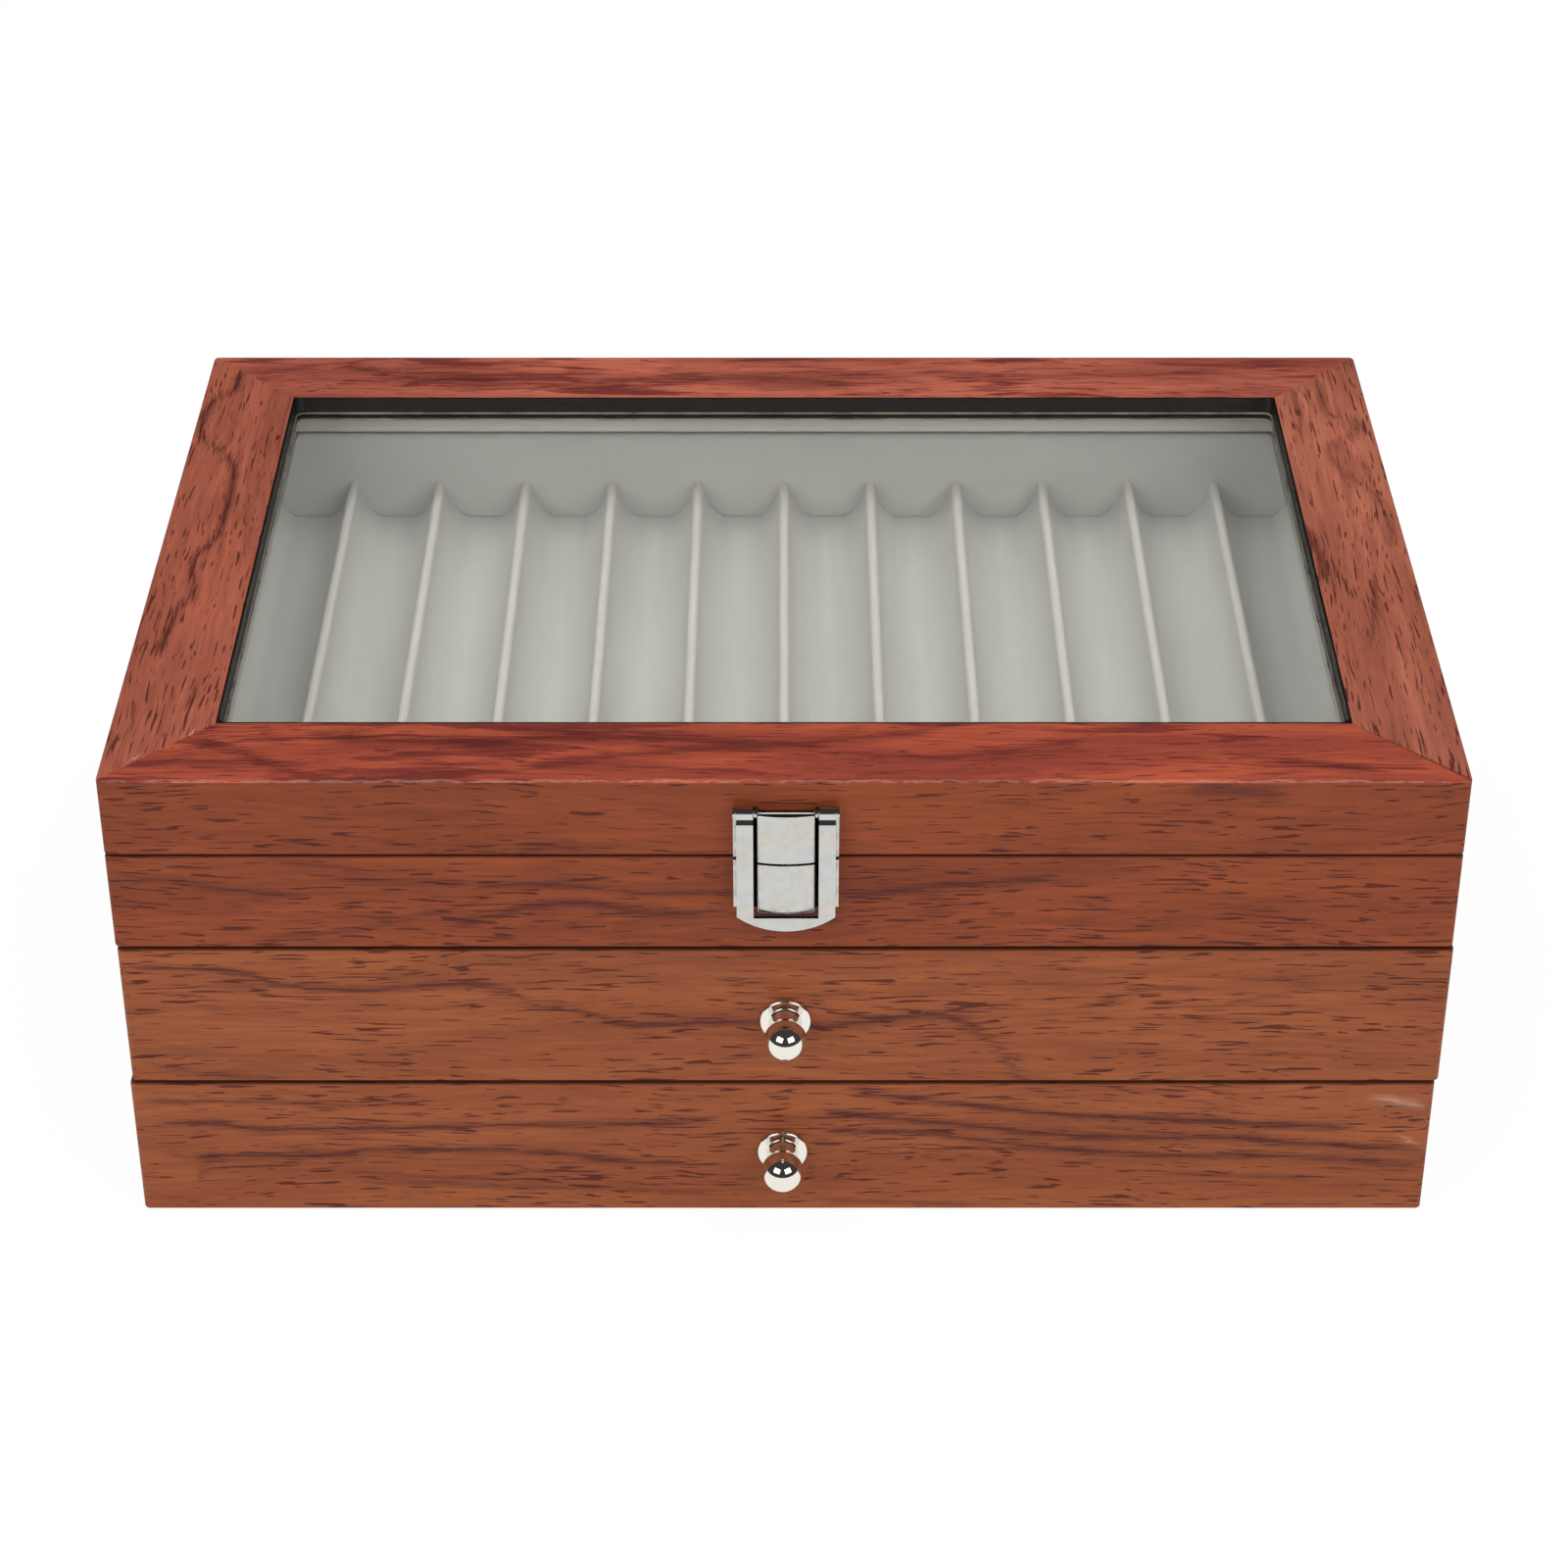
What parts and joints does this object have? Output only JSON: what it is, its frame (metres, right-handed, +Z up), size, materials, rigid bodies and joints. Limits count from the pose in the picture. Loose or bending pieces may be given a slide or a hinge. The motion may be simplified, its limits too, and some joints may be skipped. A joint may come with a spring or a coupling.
{
  "type": "pen collector chest",
  "caption": "Wooden pen display chest with a glazed hinged lid over a velvet tray of pen slots, a swing latch on the front and two knobbed pen drawers below.",
  "frame": {"origin": "on the table under the middle of the case, in the plane of the felt underside", "axes": "+X to the right, +Y to the back, +Z up; the latch and the knobs face -Y"},
  "size_m": [0.3408, 0.2505, 0.137],
  "materials": {
    "rosewood_top": "satin lacquered red-brown veneer",
    "rosewood_front": "satin lacquered brown veneer",
    "rosewood_side": "satin lacquered orange-brown veneer",
    "raw_board": "stained fibreboard",
    "velvet": "short grey flocked velvet",
    "nickel": "polished nickel plate",
    "black_edge": "black edge strip",
    "glass": "clear float glass"
  },
  "bodies": {
    "case": {"underside_felt": "velvet", "bottom_panel": "raw_board", "drawer_shelf": "raw_board", "tray_deck": "raw_board", "left_side_panel": "rosewood_side", "right_side_panel": "rosewood_side", "back_panel": "rosewood_side", "upper_front_band": "rosewood_front", "box_lining_front": "velvet", "box_lining_back": "velvet", "box_lining_left": "velvet", "box_lining_right": "velvet", "upper_tray_board": "velvet", "upper_tray_ridges": "velvet", "hinge_base_leaves": "nickel", "hinge_base_screws": "nickel", "hinge_pins": "nickel", "latch_base_plate": "nickel", "latch_base_screws": "nickel"},
    "lid": {"lid_front_wall": "rosewood_front", "lid_back_wall": "rosewood_side", "lid_left_wall": "rosewood_side", "lid_right_wall": "rosewood_side", "lid_veneer_left": "rosewood_side", "lid_veneer_right": "rosewood_side", "lid_veneer_front": "rosewood_top", "lid_veneer_back": "rosewood_top", "lid_frame_rails": "black_edge", "window_edge_trim": "black_edge", "glass_pane": "glass", "lid_lining_front": "velvet", "lid_lining_back": "velvet", "lid_lining_left": "velvet", "lid_lining_right": "velvet", "hinge_lid_leaves": "nickel", "hinge_lid_screws": "nickel", "latch_lid_plate": "nickel", "latch_lid_screws": "nickel", "latch_pins": "nickel"},
    "latch_hasp": {"latch_hasp": "nickel"},
    "upper_drawer": {"upper_drawer_front": "rosewood_front", "upper_drawer_left_side": "raw_board", "upper_drawer_right_side": "raw_board", "upper_drawer_back": "raw_board", "upper_drawer_bottom": "raw_board", "upper_drawer_lining": "velvet", "upper_drawer_tray_board": "velvet", "upper_drawer_tray_ridges": "velvet", "upper_drawer_knob": "nickel", "upper_drawer_knob_screw": "nickel"},
    "lower_drawer": {"lower_drawer_front": "rosewood_front", "lower_drawer_left_side": "raw_board", "lower_drawer_right_side": "raw_board", "lower_drawer_back": "raw_board", "lower_drawer_bottom": "raw_board", "lower_drawer_lining": "velvet", "lower_drawer_tray_board": "velvet", "lower_drawer_tray_ridges": "velvet", "lower_drawer_knob": "nickel", "lower_drawer_knob_screw": "nickel"}
  },
  "joints": [
    {"name": "lid_hinge", "type": "hinge", "parent": "case", "child": "lid", "pos_m": [0, 0.1182, 0.1145], "axis": [-1, 0, 0], "range_deg": [0, 95]},
    {"name": "latch_hinge", "type": "hinge", "parent": "lid", "child": "latch_hasp", "pos_m": [0.0005, -0.1186, 0.1292], "axis": [-1, 0, 0], "range_deg": [0, 150]},
    {"name": "upper_drawer_slide", "type": "slide", "parent": "case", "child": "upper_drawer", "axis": [0, -1, 0], "range_m": [0, 0.17]},
    {"name": "lower_drawer_slide", "type": "slide", "parent": "case", "child": "lower_drawer", "axis": [0, -1, 0], "range_m": [0, 0.17]}
  ]
}
